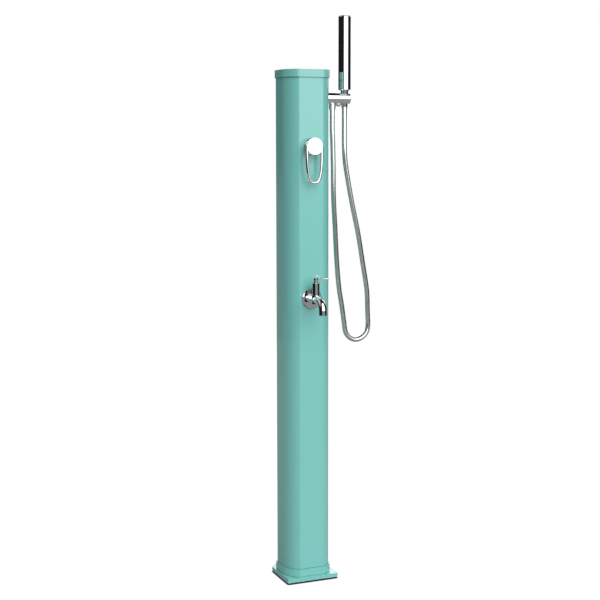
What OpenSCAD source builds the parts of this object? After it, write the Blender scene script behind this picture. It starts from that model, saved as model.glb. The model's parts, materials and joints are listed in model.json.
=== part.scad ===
// Outdoor shower post with a hand shower, a mixer and a low tap, in millimetres.
// The origin is the centre of the gasket's underside, the front faces -Y and Z points up.

/* [Post] */
// Height from the ground to the top of the cap
overall_h = 1500; // [1400:10:1700]
// Width across the two side faces
post_w = 140; // [134:1:150]
// Depth from the front face to the back
post_d = 108; // [104:1:120]
// Width of the flat part of the front face
front_flat_w = 74; // [68:1:80]
// Depth from the front face back to the crease of each side face
corner_d = 47; // [42:1:50]
// Radius of the bowed front corners
corner_r = 55; // [50:1:70]
// Radius of the back corners
back_r = 10; // [9:1:14]
// Wall of the extrusion
post_wall = 3; // [2:0.5:3.5]

/* [Base] */
// Width of the base plate
plate_w = 160; // [156:1:200]
// Depth of the base plate
plate_d = 130; // [126:1:170]
// How far the plate runs on behind its square part
plate_tail = 45; // [30:1:60]
// How far each side of that tail runs in
tail_in = 38; // [24:1:46]
// Thickness of the base plate
plate_t = 12; // [8:1:16]
// Corner radius of the base plate
plate_r = 3; // [1:0.5:8]
// Thickness of the rubber gasket under the plate
gasket_t = 4; // [2:0.5:6]
// How far the gasket's edge lies inside the plate's edge
gasket_inset = 1; // [0.5:0.5:3]
// Radius of the passage for the supply hoses
passage_r = 36; // [34:1:38]
// Distance between the floor bolts, left to right
anchor_w = 84; // [80:1:88]
// Distance between the floor bolts, front to back
anchor_d = 56; // [52:1:60]
// Radius of the holes for the floor bolts
anchor_r = 4.5; // [3.5:0.5:5.5]
// Height of the collar round the foot of the post
collar_h = 22.5; // [16:0.5:30]
// Wall of the collar
collar_wall = 4; // [2:0.2:4.4]
// Height of the foot inside the post
foot_h = 80; // [60:1:110]
// Wall of the foot
foot_wall = 4; // [3:0.5:5]

/* [Cap] */
// Height of the cap's rim
cap_h = 22; // [16:1:30]
// Thickness of the cap's top
cap_t = 4; // [2:0.5:6]
// Wall of the cap's rim
cap_wall = 2.7; // [2:0.1:4]

/* [Mixer] */
// Depth of the mixer's axis below the top of the cap
mixer_drop = 218; // [205:1:260]
// Distance from the front face to the face of the round cap
mixer_reach = 28; // [27:0.5:32]
// Radius of the round cap
disc_r = 25; // [24:0.5:28]
// Thickness of the round cap
disc_t = 2; // [1.5:0.5:3]
// Radius of the cup that carries the cap and the loop
cup_r = 21; // [20:0.5:21]
// Radius of the dome that the cup turns over
dome_r = 17; // [16:0.5:17]
// Radius of the rosette behind the cup
mixer_rosette_r = 22.5; // [22.5:0.5:30]
// Thickness of the rosette
mixer_rosette_t = 3; // [2.5:0.5:3.5]
// Length of the lever's loop below the axis
loop_drop = 104; // [80:1:130]
// Radius of the loop's rod
loop_rod_r = 3.3; // [2.5:0.1:3.5]
// Angle that the lever lifts, from closed to full flow
lift_angle = 20; // [10:1:20]

/* [Tap] */
// Height of the tap's axis above the ground
tap_z = 845; // [600:5:1000]
// Radius of the tap's rosette
tap_rosette_r = 30; // [25:0.5:36]
// Thickness of the tap's rosette
tap_rosette_t = 3.5; // [2:0.5:5]
// Distance from the front face to the spindle's axis
tap_spindle_reach = 31; // [28:1:36]
// Distance from the front face to the middle of the outlet
tap_reach = 82; // [78:1:110]
// Depth of the outlet's rim below the tap's axis
tap_outlet_drop = 40; // [38:1:60]
// Radius of the spout's bend
spout_bend_r = 28; // [22:1:30]
// Outside radius of the spout
spout_r = 11.5; // [11:0.5:13]
// Height of the bonnet above the tap's axis
bonnet_top = 48; // [40:1:60]
// Radius of the bonnet
bonnet_r = 11; // [10:0.5:11.5]
// Length of the tap's lever from the spindle's axis
lever_l = 41; // [36:1:60]

/* [Hand shower] */
// Depth of the holder's axis below the top of the cap
bracket_drop = 79; // [60:1:100]
// Distance of the holder's axis behind the middle of the post
bracket_back = 15; // [12:1:24]
// Radius of the holder's bar
bar_r = 16.5; // [15.5:0.5:18]
// Length of the holder's bar
bar_l = 78; // [76:1:84]
// Distance from the side face to the hose's outlet
outlet_out = 25; // [22:1:26]
// Distance from the side face to the hand shower's axis
handset_out = 64; // [62:1:66]
// Radius of the hand shower
handset_r = 18; // [16:0.5:20]
// Length of the hand shower
handset_l = 214; // [180:1:240]
// Outside radius of the hose
hose_r = 7.2; // [6:0.1:7.4]
// Radius of the hose's bore
hose_bore_r = 4.2; // [3:0.1:5]

/* [Pipes] */
// Outside radius of the pipes
pipe_r = 6; // [5:0.5:6.5]
// Wall of the pipes
pipe_wall = 1; // [0.8:0.1:1.5]
// Distance of each riser from the middle of the post
riser_x = 16; // [15:0.5:18]
// Distance of the risers' axes behind the front face
riser_back = 38; // [36:1:42]

/* [Hidden] */
$fn = 64;

// Shared clearances and cuts
fit = 0.3;      // between parts that slip over each other
thread_fit = 0.05; // between a thread and its socket, and round a turning shaft
disc_gap = 0.05; // between ceramic discs
over = 1;       // overrun of a cut past a face
edge = 0.6;     // chamfer of a machined edge

// Places that follow from the driving sizes
plate_top = gasket_t + plate_t;
front_y = -post_d / 2;
back_y = post_d / 2;
side_x = post_w / 2;
flat_x = front_flat_w / 2;
mixer_z = overall_h - mixer_drop;
bracket_z = overall_h - bracket_drop;
riser_y = front_y + riser_back;
shell_top = overall_h - cap_t;

// Arc of the bowed front corners, through the front crease and the side crease
chord = [side_x - flat_x, corner_d];
chord_out = [corner_d, flat_x - side_x] / norm(chord);
arc_c = [flat_x, front_y] + chord / 2 - chord_out * sqrt(pow(corner_r, 2) - pow(norm(chord) / 2, 2));

// Screws
screw_x_share = 0.57; // place of the back screws, as a share of half the width
foot_screw_r = 3;
foot_screw_head_r = 5;
foot_screw_head_t = 3;
cap_screw_r = 2;
cap_screw_head_r = 3.5;
cap_screw_head_t = 1.5;
screw_tip = 2;    // length of a screw past the last wall
screw_hole_fit = 0.2;

// Pipes, their sockets and the plate that holds the inlets
pipe_bracket_t = 3;
socket_depth = 10;
inlet_r = 13;
inlet_l = 26;
inlet_thread_r = 9.3;
inlet_thread_l = 15;
inlet_neck_r = 9.5;
inlet_neck_l = 24;
inlet_nut_r = 14;
inlet_nut_t = 7;
water_r = 4.5;    // bore of the fittings
fitting_r = 9.5;  // outside of the fittings round a pipe
stub_l = 38;      // from the mixer's axis to the end of a pipe socket

// Cartridge and mixer body, measured outwards from the front face
pivot_out = 6;
barrel_r = 24;
barrel_back = 46;
neck_r = 20.5;
neck_out = 1.8;
cavity_r = 17.7;
nut_bore_r = 18.2;
cavity_back = 29;
seal_t = 2;
housing_r = 17.5;
housing_shoulder = 3;
housing_front_t = 2;
housing_neck_r = 12;
housing_neck_out = 10;
housing_cavity_r = 13.2;
carrier_r = 9.9;
carrier_out = 9.5;
carrier_slot_floor = 1;
carrier_flange_r = 12.8;
carrier_flange_back = 8;
moving_disc_r = 7.6;
moving_disc_front = 8.1;
moving_disc_back = 14;
recess_r = 2.3;
recess_back = 11.4;
mixing_w = 8.6;   // pocket in the back of the moving disc that joins the ports
mixing_top = 5.6;
mixing_bottom = 1;
mixing_t = 2;
fixed_disc_r = 13;
fixed_disc_back = 18;
base_back = 27;
port_r = 2;
port_x = 4;
port_y = 3.5;
out_port_y = 0.6;
stem_r = 4;
stem_out = 22;
peg_r = 1.9;
peg_arm = 15.4;   // from the pivot to the middle of the peg's round end
peg_slot_x = 2.3;
peg_slot_drop = 7.6;
pin_r = 1.5;
pin_l = 18.6;
slot_fit = 0.3;

// Dome, cup and loop
dome_t = 2.2;
dome_open_r = 11;
dome_base_r = 18.1;
dome_bore_r = 13.2;
cup_gap = 0.4;
cup_back_out = 12;
hub_r = 5.5;
hub_back_out = 14;
handle_screw_r = 2;
handle_screw_head_r = 3.9;
handle_screw_head_t = 1.8;
loop_gap = 0.2;   // between the loop's rod and the back of the cap, and beside the cup
loop_eye_r = 3.5;
loop_pin_r = 2;
loop_pin_l = 3;
loop_rings = 52;
loop_power = 2 / 3; // squareness of the loop, where 1 is a plain ellipse
loop_sides = 12;

// Tap, measured from its axis
tap_tail_r = 9.5;
tail_back = 19;
tail_bore_r = 4;
tail_bore_drop = 4.5;
locknut_t = 5;
locknut_r = 15;
locknut_gap = 1;
tap_barrel_r = 11;
chamber_r = 12;
chamber_bottom = spout_r + 2 * edge;
chamber_top = spout_r + edge;
seat_z = 2;
seat_bore_r = 3.5;
cage_r = 8.4;
cage_bore_r = 6.8;
cage_top = 12;
window_w = 5;
window_h = 4;
spout_bore_r = 8;
spout_throat_r = 5.5;
aerator_r = 9.5;
aerator_l = 8;
aerator_hole_r = 0.9;
aerator_pitch = 3;
bonnet_neck_r = 6.5;
bonnet_neck_h = 6;
spindle_r = 4;
spindle_flange_r = 6.4;
spindle_flange_t = 3.6;
spindle_in_hub = 5;
tap_disc_r = 6.3;
tap_disc_t = 3;
tap_port_r = 2;
tap_port_out = 3;
tap_notch_w = 3.6;
tap_notch_from = 2;
hub_gap = 0.5;
lever_hub_h = 8;
lever_rod_r = 1.8;
lever_tip_r = 3;
lever_tip_l = 11;
lever_rise = 5.5; // from the top of the hub to the crest of the lever
lever_crest_r = 4; // radius of the bend at the crest
lever_sunk = 2;   // length of the rod inside the hub
lever_drop = 9.5; // from the crest of the lever down to its tip
lever_bend_out = 24;
lever_screw_r = 1.5;
lever_screw_key_r = 0.8;
lever_screw_key_t = 1;
lever_screw_in = 0.8; // depth of the screw's tip in the spindle
manifold_boss_r = 13;
manifold_boss_back = 26;
manifold_arm_h = 9;
manifold_leg_l = 20;

// Holder and hose fittings, measured from the bar's axis
bracket_seal_t = 1;
bracket_seal_r = 15.5;
tail_r = 9.5;
bar_edge = 0.8;
bar_bore_r = 5;
nipple_r = 8.3;
nipple_drop = 24;
holder_slot_w = 15.4;
web_r = 7;
web_drop = 16;
web_from = 42.5;
web_to = 46;
elbow_out = 30;
elbow_boss_r = 13;
elbow_drop = 28;
hose_nut_r = 10;
hose_nut_top = 17;
hose_nut_bottom = 30;
nut_lip_t = 2;
nut_lip_r = 6.6;
washer_t = 1.8;
washer_bore_r = 5;
ferrule_r = 8;
ferrule_l = 6;
ferrule_bore_r = 4;
ferrule_neck_r = 6.5;
ferrule_flange_r = 8.2;
cone_bottom = 24;
cone_top = 25;
cone_bottom_r = 8.9;
cone_top_r = 11.3;
cone_lip_t = 8;
swivel_r = 5.5;
swivel_flange_r = 7;
swivel_flange_t = 3;
swivel_bore_r = 3.5;
cone_chamber_r = 7.5;
cone_thread_depth = 17;

// Hand shower, measured from its lower end
handset_wall = 2;
handset_top_t = 3;
handset_edge_r = 4;
handset_foot_r = 1.5;
handset_neck_r = 9.3;
handset_neck_drop = 15;
handset_plug_l = 20;
core_r = 12;
core_bore_r = 8;
core_gap = 1;
spray_w = 18;
spray_l = 76;
spray_end = 14;   // from the top of the hand shower to the spray plate
spray_t = 2;
spray_face = 15.4;
spray_gap = 0.2;
nozzle_r = 1.2;
nozzle_tip_r = 0.7;
nozzle_h = 1.2;
nozzle_columns = 3;
nozzle_rows = 13;
nozzle_side = 3.6; // from the plate's edge to the first column and the first row
nozzle_end = 6.9;

// Hose: places of its middle line, right of and below the outlet in the holder's plane
hose_span = handset_out - outlet_out;
hose_route = [[0, -hose_nut_bottom - ferrule_l], [0, -56], [0, -90], [2, -140], [3.5, -206.5], [4.5, -287],
    [9.5, -376.5], [14.5, -468], [22, -552], [33, -619], [40, -667], [44.5, -692], [56, -707.5],
    [71, -715.5], [88, -715.5], [105, -706.5], [115.5, -692], [118.5, -671.5], [117, -634.5],
    [114, -567.5], [100, -484.5], [hose_span + 45.5, -396.5], [hose_span + 27, -314],
    [hose_span + 12.5, -242], [hose_span + 2.5, -180.5], [hose_span, -128], [hose_span, -84],
    [hose_span, -50], [hose_span, -cone_bottom - ferrule_l]];
hose_steps = 24;      // steps that each stretch between two places is measured with
hose_ribs = 190;
hose_sides = 8;
bore_step = 5;        // rings of the outside for each ring of the bore
rib_depth = 0.7;

// Outline of the post's section, grown outwards by out
module post_outline(out = 0) {
    r = corner_r + out;
    sx = side_x + out;
    fy = front_y - out;
    by = back_y + out;
    br = back_r + out;
    difference() {
        union() {
            polygon([[-sx, fy], [sx, fy], [sx, by - br], [sx - br, by], [br - sx, by], [-sx, by - br]]);
            for (s = [-1, 1]) translate([s * (sx - br), by - br]) circle(r = br);
        }
        for (m = [0, 1]) mirror([m, 0]) difference() {
            translate([arc_c.x, fy - over]) square([sx + over - arc_c.x, arc_c.y - fy + over]);
            translate(arc_c) circle(r = r, $fn = 180);
        }
    }
}

// Rectangle with round corners
module rounded_rect(w, d, r) {
    square([w - 2 * r, d], center = true);
    square([w, d - 2 * r], center = true);
    for (x = [-1, 1], y = [-1, 1])
        translate([x * (w / 2 - r), y * (d / 2 - r)]) circle(r = r);
}

// Disc or ring with chamfered outer edges at both ends
module edged_disc(r, h, e = edge) {
    rotate_extrude() polygon([[0, 0], [r - e, 0], [r, e], [r, h - e], [r - e, h], [0, h]]);
}

module ring(r_out, r_in, h) {
    difference() {
        cylinder(r = r_out, h = h);
        translate([0, 0, -over]) cylinder(r = r_in, h = h + 2 * over);
    }
}

// Tube along a flat path, with its sides square to the direction across
module sweep(path, across, r, sides) {
    last = len(path) - 1;
    points = [for (i = [0:last])
        let (t = path[min(i + 1, last)] - path[max(i - 1, 0)],
            n = cross(across, t) / norm(cross(across, t)))
        for (j = [0:sides - 1])
            path[i] + r * (cos(360 * j / sides) * n + sin(360 * j / sides) * across)];
    polyhedron(points, [
        [for (j = [0:sides - 1]) j],
        for (i = [0:last - 1], j = [0:sides - 1]) each [
            [i * sides + j, (i + 1) * sides + j, (i + 1) * sides + (j + 1) % sides],
            [i * sides + j, (i + 1) * sides + (j + 1) % sides, i * sides + (j + 1) % sides]],
        [for (j = [sides - 1:-1:0]) last * sides + j]]);
}

// Frames: on the front face at height z with local +Z outwards and +Y up, and on the
// side face at the holder with local +Z outwards and +X down
module on_front(z) translate([0, front_y, z]) rotate([90, 0, 0]) children();
module on_side() translate([side_x, bracket_back, bracket_z]) rotate([0, 90, 0]) children();
module at_outlet() translate([side_x + outlet_out, bracket_back, bracket_z]) children();
module at_handset() translate([side_x + handset_out, bracket_back, bracket_z]) children();
module at_tap_spindle() translate([0, front_y - tap_spindle_reach, tap_z]) children();
module each_riser() for (s = [-1, 1]) translate([s * riser_x, riser_y, 0]) children();

// Base and post
module base_plan(inset) {
    difference() {
        translate([0, plate_tail / 2])
            rounded_rect(plate_w - 2 * inset, plate_d + plate_tail - 2 * inset, plate_r);
        for (m = [0, 1]) mirror([m, 0]) translate([plate_w / 2, plate_d / 2])
            rotate(atan2(tail_in, plate_tail)) translate([-inset, -plate_d])
                square([plate_w, plate_w + 2 * plate_d]);
        circle(r = passage_r);
        for (x = [-1, 1], y = [-1, 1])
            translate([x * anchor_w / 2, y * anchor_d / 2]) circle(r = anchor_r);
    }
}

module base_gasket() {
    color("black") linear_extrude(gasket_t) base_plan(gasket_inset);
}

module base_plate() {
    color("turquoise") translate([0, 0, gasket_t]) linear_extrude(plate_t) base_plan(0);
}

module back_screw_places(z) {
    for (s = [-1, 1])
        translate([s * screw_x_share * side_x, back_y, z]) rotate([-90, 0, 0]) children();
}

foot_screw_z = plate_top + collar_h / 2;
foot_screw_in = post_wall + fit + foot_wall + screw_tip;
cap_screw_z = overall_h - cap_h / 2;
cap_screw_in = post_wall + screw_tip;
collar_out = fit + collar_wall;
cap_out = fit + cap_wall;
foot_in = post_wall + fit;

module screw_hole(r, depth, reach) {
    translate([0, 0, -depth]) cylinder(r = r, h = depth + reach);
}

module base_collar() {
    color("turquoise") difference() {
        translate([0, 0, plate_top]) linear_extrude(collar_h) difference() {
            post_outline(collar_out);
            post_outline(fit);
        }
        back_screw_places(foot_screw_z)
            screw_hole(foot_screw_r + screw_hole_fit, foot_screw_in, collar_out + over);
    }
}

module post_foot() {
    color("silver") difference() {
        translate([0, 0, plate_top]) linear_extrude(foot_h) difference() {
            post_outline(-foot_in);
            post_outline(-foot_in - foot_wall);
        }
        back_screw_places(foot_screw_z)
            screw_hole(foot_screw_r + thread_fit, foot_screw_in, collar_out);
    }
}

module foot_screws() {
    color("silver") back_screw_places(foot_screw_z) {
        translate([0, 0, -foot_screw_in]) cylinder(r = foot_screw_r, h = foot_screw_in + collar_out);
        translate([0, 0, collar_out]) edged_disc(foot_screw_head_r, foot_screw_head_t);
    }
}

module post_shell() {
    color("turquoise") difference() {
        translate([0, 0, plate_top]) linear_extrude(shell_top - plate_top) difference() {
            post_outline();
            post_outline(-post_wall);
        }
        on_front(mixer_z) screw_hole(neck_r + fit, post_wall + over, over);
        on_front(tap_z) screw_hole(tap_tail_r + fit, post_wall + over, over);
        on_side() screw_hole(tail_r + fit, post_wall + over, over);
        back_screw_places(foot_screw_z)
            screw_hole(foot_screw_r + screw_hole_fit, post_wall + over, over);
        back_screw_places(cap_screw_z)
            screw_hole(cap_screw_r + thread_fit, post_wall + over, over);
    }
}

module top_cap() {
    color("turquoise") difference() {
        translate([0, 0, overall_h - cap_h]) linear_extrude(cap_h) post_outline(cap_out);
        translate([0, 0, overall_h - cap_h - over])
            linear_extrude(cap_h - cap_t + over) post_outline(fit);
        back_screw_places(cap_screw_z)
            screw_hole(cap_screw_r + screw_hole_fit, cap_out, cap_out + over);
    }
}

module cap_screws() {
    color("silver") back_screw_places(cap_screw_z) {
        translate([0, 0, -cap_screw_in]) cylinder(r = cap_screw_r, h = cap_screw_in + cap_out);
        translate([0, 0, cap_out]) edged_disc(cap_screw_head_r, cap_screw_head_t);
    }
}

// Supply pipes
bracket_plate_z = plate_top + foot_h;
inlet_top = bracket_plate_z + inlet_neck_l;

module pipe_bracket() {
    color("gray") difference() {
        translate([0, 0, bracket_plate_z]) linear_extrude(pipe_bracket_t) post_outline(-foot_in);
        each_riser() translate([0, 0, bracket_plate_z - over])
            cylinder(r = inlet_neck_r + fit, h = pipe_bracket_t + 2 * over);
    }
}

module inlet(side) {
    color("goldenrod") translate([side * riser_x, riser_y, 0]) difference() {
        union() {
            translate([0, 0, bracket_plate_z - inlet_l]) edged_disc(inlet_r, inlet_l);
            translate([0, 0, bracket_plate_z - over]) cylinder(r = inlet_neck_r, h = inlet_neck_l + over);
        }
        translate([0, 0, bracket_plate_z - inlet_l - over])
            cylinder(r = inlet_thread_r, h = inlet_thread_l + over);
        translate([0, 0, bracket_plate_z - inlet_l]) cylinder(r = water_r, h = inlet_l + inlet_neck_l);
        translate([0, 0, inlet_top - socket_depth])
            cylinder(r = pipe_r + thread_fit, h = socket_depth + over);
    }
}

module cold_inlet() inlet(1);
module hot_inlet() inlet(-1);

module inlet_nuts() {
    color("goldenrod") each_riser() translate([0, 0, bracket_plate_z + pipe_bracket_t])
        difference() {
            cylinder(r = inlet_nut_r, h = inlet_nut_t, $fn = 6);
            translate([0, 0, -over]) cylinder(r = inlet_neck_r + thread_fit, h = inlet_nut_t + 2 * over);
        }
}

module riser(side, from, to) {
    color("peru") translate([side * riser_x, riser_y, from]) ring(pipe_r, pipe_r - pipe_wall, to - from);
}

mixer_socket_z = mixer_z - stub_l + socket_depth;
module cold_riser_lower() riser(1, inlet_top - socket_depth, tap_z - manifold_leg_l + socket_depth);
module cold_riser_upper() riser(1, tap_z + manifold_leg_l - socket_depth, mixer_socket_z);
module hot_riser() riser(-1, inlet_top - socket_depth, mixer_socket_z);

// Pipe from the mixer to the holder, in the upright plane through its two sockets
shower_from = [0, riser_y, mixer_z + stub_l - socket_depth];
shower_to = [side_x - elbow_out, bracket_back, bracket_z - elbow_drop + socket_depth];
shower_run = [shower_to.x - shower_from.x, shower_to.y - shower_from.y, 0];
shower_rise = shower_to.z - shower_from.z - 2 * socket_depth;
shower_rings = 24;

module shower_pipe() {
    path = [shower_from,
        for (i = [0:shower_rings])
            shower_from + shower_run * (1 - cos(180 * i / shower_rings)) / 2
                + [0, 0, socket_depth + shower_rise * i / shower_rings],
        shower_to];
    across = cross([0, 0, 1], shower_run) / norm(shower_run);
    color("peru") sweep(path, across, pipe_r, 12);
}

// Mixer
module mixer_body() {
    color("goldenrod") difference() {
        union() {
            on_front(mixer_z) {
                translate([0, 0, -barrel_back]) cylinder(r = barrel_r, h = barrel_back - post_wall);
                translate([0, 0, -post_wall - over]) cylinder(r = neck_r, h = post_wall + over + neck_out);
            }
            each_riser() translate([0, 0, mixer_z - stub_l]) cylinder(r = fitting_r, h = stub_l);
            translate([0, riser_y, mixer_z]) cylinder(r = fitting_r, h = stub_l);
        }
        on_front(mixer_z) {
            translate([0, 0, -cavity_back]) cylinder(r = cavity_r, h = cavity_back + neck_out + over);
            translate([0, 0, -housing_shoulder])
                cylinder(r = nut_bore_r, h = housing_shoulder + neck_out + over);
            for (s = [-1, 1]) {
                translate([s * port_x, -port_y, -riser_back]) cylinder(r = port_r, h = riser_back);
                translate([s * port_x, -port_y, -riser_back]) rotate([0, s * 90, 0])
                    cylinder(r = port_r, h = riser_x - port_x);
            }
            translate([0, out_port_y, -riser_back]) cylinder(r = port_r, h = riser_back);
        }
        each_riser() {
            translate([0, 0, mixer_z - stub_l]) cylinder(r = water_r, h = stub_l - port_y);
            translate([0, 0, mixer_z - stub_l - over])
                cylinder(r = pipe_r + thread_fit, h = socket_depth + over);
        }
        translate([0, riser_y, mixer_z + out_port_y]) cylinder(r = water_r, h = stub_l);
        translate([0, riser_y, mixer_z + stub_l - socket_depth])
            cylinder(r = pipe_r + thread_fit, h = socket_depth + over);
    }
}

module mixer_rosette() {
    color("silver") on_front(mixer_z) difference() {
        edged_disc(mixer_rosette_r, mixer_rosette_t);
        translate([0, 0, -over]) cylinder(r = neck_r + thread_fit, h = neck_out + thread_fit + over);
        cylinder(r = dome_base_r + thread_fit, h = mixer_rosette_t + over);
    }
}

module mixer_dome() {
    color("silver") on_front(mixer_z) difference() {
        union() {
            translate([0, 0, neck_out]) cylinder(r = dome_base_r, h = mixer_rosette_t - neck_out);
            intersection() {
                translate([0, 0, pivot_out]) sphere(r = dome_r);
                translate([0, 0, neck_out]) cylinder(r = dome_r + over, h = pivot_out + dome_r);
            }
        }
        translate([0, 0, pivot_out]) sphere(r = dome_r - dome_t);
        cylinder(r = dome_bore_r, h = pivot_out);
        translate([0, 0, pivot_out]) cylinder(r = dome_open_r, h = dome_r + over);
    }
}

flange_front = housing_shoulder + housing_front_t;
module cartridge_housing() {
    color("white") on_front(mixer_z) difference() {
        union() {
            translate([0, 0, -base_back]) cylinder(r = housing_r, h = base_back - housing_shoulder);
            translate([0, 0, -housing_shoulder - over])
                cylinder(r = housing_neck_r, h = housing_shoulder + over + housing_neck_out);
        }
        translate([0, 0, -base_back - over])
            cylinder(r = housing_cavity_r, h = base_back + over - flange_front);
        translate([0, 0, -base_back])
            cylinder(r = carrier_r + thread_fit, h = base_back + housing_neck_out + over);
    }
}

module cartridge_nut() {
    color("goldenrod") on_front(mixer_z) translate([0, 0, -housing_shoulder])
        ring(nut_bore_r - thread_fit, housing_neck_r + fit, housing_shoulder + neck_out);
}

module port_places() {
    for (p = [[-port_x, -port_y], [port_x, -port_y], [0, out_port_y]]) translate(p) children();
}

module cartridge_base() {
    color("dimgray") on_front(mixer_z) difference() {
        translate([0, 0, -base_back]) cylinder(r = fixed_disc_r, h = base_back - fixed_disc_back);
        port_places() translate([0, 0, -base_back - over]) cylinder(r = port_r, h = base_back);
    }
}

module cartridge_seal() {
    color("black") on_front(mixer_z) difference() {
        translate([0, 0, -base_back - seal_t]) cylinder(r = housing_r, h = seal_t);
        port_places() translate([0, 0, -base_back - seal_t - over])
            cylinder(r = port_r, h = seal_t + 2 * over);
    }
}

module fixed_disc() {
    color("white") on_front(mixer_z) difference() {
        translate([0, 0, -fixed_disc_back])
            cylinder(r = fixed_disc_r, h = fixed_disc_back - moving_disc_back - disc_gap);
        port_places() translate([0, 0, -fixed_disc_back - over]) cylinder(r = port_r, h = fixed_disc_back);
    }
}

module moving_disc() {
    color("ivory") on_front(mixer_z) difference() {
        translate([0, 0, -moving_disc_back])
            cylinder(r = moving_disc_r, h = moving_disc_back - moving_disc_front);
        translate([0, 0, -recess_back]) cylinder(r = recess_r, h = recess_back);
        translate([-mixing_w / 2, -mixing_bottom, -moving_disc_back - over])
            cube([mixing_w, mixing_top + mixing_bottom, mixing_t + over]);
    }
}

module cartridge_carrier() {
    color("lightgray") on_front(mixer_z) difference() {
        union() {
            translate([0, 0, -carrier_flange_back])
                cylinder(r = carrier_flange_r, h = carrier_flange_back - flange_front - disc_gap);
            translate([0, 0, -carrier_flange_back])
                cylinder(r = carrier_r, h = carrier_flange_back + carrier_out);
        }
        translate([-stem_r - slot_fit, -carrier_r - over, -carrier_slot_floor])
            cube([2 * (stem_r + slot_fit), 2 * (carrier_r + over), carrier_slot_floor + carrier_out + over]);
        translate([-peg_slot_x, -peg_slot_drop, -carrier_flange_back - over])
            cube([2 * peg_slot_x, peg_slot_drop + peg_slot_x, carrier_flange_back + over]);
        translate([0, 0, pivot_out]) rotate([0, 90, 0])
            cylinder(r = pin_r + thread_fit, h = 2 * (carrier_r + over), center = true);
    }
}

module stem_pin() {
    color("silver") on_front(mixer_z) translate([0, 0, pivot_out]) rotate([0, 90, 0])
        cylinder(r = pin_r, h = pin_l, center = true);
}

module cartridge_stem() {
    color("silver") on_front(mixer_z) difference() {
        union() {
            translate([0, 0, pivot_out]) sphere(r = stem_r);
            translate([0, 0, pivot_out]) cylinder(r = stem_r, h = stem_out - pivot_out);
            translate([0, 0, pivot_out - peg_arm]) cylinder(r = peg_r, h = peg_arm);
            translate([0, 0, pivot_out - peg_arm]) sphere(r = peg_r);
        }
        translate([0, 0, pivot_out]) rotate([0, 90, 0])
            cylinder(r = pin_r + thread_fit, h = 2 * (stem_r + over), center = true);
        translate([0, 0, hub_back_out]) cylinder(r = handle_screw_r + thread_fit, h = stem_out);
    }
}

// Handle: cup, its screw, the round cap and the loop
cup_out = mixer_reach - disc_t;
loop_out = cup_out - loop_gap - loop_rod_r;
loop_half_w = cup_r + loop_gap + loop_rod_r;

module mixer_cup() {
    color("silver") on_front(mixer_z) difference() {
        translate([0, 0, cup_back_out]) edged_disc(cup_r, cup_out - cup_back_out);
        difference() {
            translate([0, 0, pivot_out]) sphere(r = dome_r + cup_gap);
            translate([0, 0, hub_back_out]) cylinder(r = hub_r, h = cup_out);
        }
        translate([0, 0, hub_back_out - over])
            cylinder(r = stem_r + thread_fit, h = stem_out - hub_back_out + over);
        cylinder(r = handle_screw_r + thread_fit, h = cup_out + over);
        translate([0, 0, cup_out - handle_screw_head_t])
            cylinder(r = handle_screw_head_r + thread_fit, h = handle_screw_head_t + over);
        translate([0, 0, loop_out]) rotate([0, 90, 0]) for (s = [0, 180]) rotate([0, s, 0])
            translate([0, 0, loop_half_w - loop_rod_r - loop_gap - loop_pin_l])
                cylinder(r = loop_pin_r + thread_fit, h = loop_pin_l + over);
    }
}

module handle_screw() {
    color("gray") on_front(mixer_z) {
        translate([0, 0, cup_out - handle_screw_head_t])
            cylinder(r = handle_screw_head_r, h = handle_screw_head_t);
        translate([0, 0, hub_back_out]) cylinder(r = handle_screw_r, h = cup_out - hub_back_out - over);
    }
}

module mixer_cap() {
    color("white") on_front(mixer_z) translate([0, 0, cup_out]) edged_disc(disc_r, disc_t);
}

module lever_loop() {
    path = [for (i = [0:loop_rings]) let (a = 180 * i / loop_rings)
        [-loop_half_w * sign(cos(a)) * pow(abs(cos(a)), loop_power),
            -loop_drop * pow(sin(a), loop_power), 0]];
    color("silver") on_front(mixer_z) translate([0, 0, loop_out]) {
        sweep(path, [0, 0, 1], loop_rod_r, loop_sides);
        for (s = [-1, 1]) {
            translate([s * (loop_half_w + loop_rod_r), 0, 0]) rotate([0, -s * 90, 0]) {
                edged_disc(loop_eye_r, 2 * loop_rod_r);
                cylinder(r = loop_pin_r, h = 2 * loop_rod_r + loop_gap + loop_pin_l);
            }
        }
    }
}

// Holder on the side face, with the hose's outlet and the seat of the hose's cone
function cone_r(z) =
    cone_bottom_r + (cone_top_r - cone_bottom_r) * (z + cone_bottom) / (cone_top + cone_bottom);

module holder_bracket() {
    color("silver") difference() {
        union() {
            on_side() {
                translate([0, 0, bracket_seal_t]) edged_disc(bar_r, bar_l - bracket_seal_t, bar_edge);
                translate([0, 0, -tail_back]) cylinder(r = tail_r, h = tail_back + bracket_seal_t + over);
                for (w = [web_from, web_to]) translate([web_drop, 0, w]) sphere(r = web_r);
                translate([web_drop, 0, web_from]) cylinder(r = web_r, h = web_to - web_from);
            }
            at_outlet() translate([0, 0, -nipple_drop]) cylinder(r = nipple_r, h = nipple_drop);
        }
        on_side() translate([0, 0, -tail_back - over])
            cylinder(r = bar_bore_r, h = tail_back + over + outlet_out);
        at_outlet() translate([0, 0, -nipple_drop - over]) cylinder(r = bar_bore_r, h = nipple_drop + over);
        at_handset() {
            translate([0, 0, -bar_r - over])
                cylinder(r1 = cone_r(-bar_r - over) + fit, r2 = cone_r(bar_r + over) + fit,
                    h = 2 * (bar_r + over));
            translate([0, -holder_slot_w / 2, -bar_r - over])
                cube([bar_l, holder_slot_w, 2 * (bar_r + over)]);
        }
    }
}

module bracket_seal() {
    color("black") on_side() ring(bracket_seal_r, tail_r + fit, bracket_seal_t);
}

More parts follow.
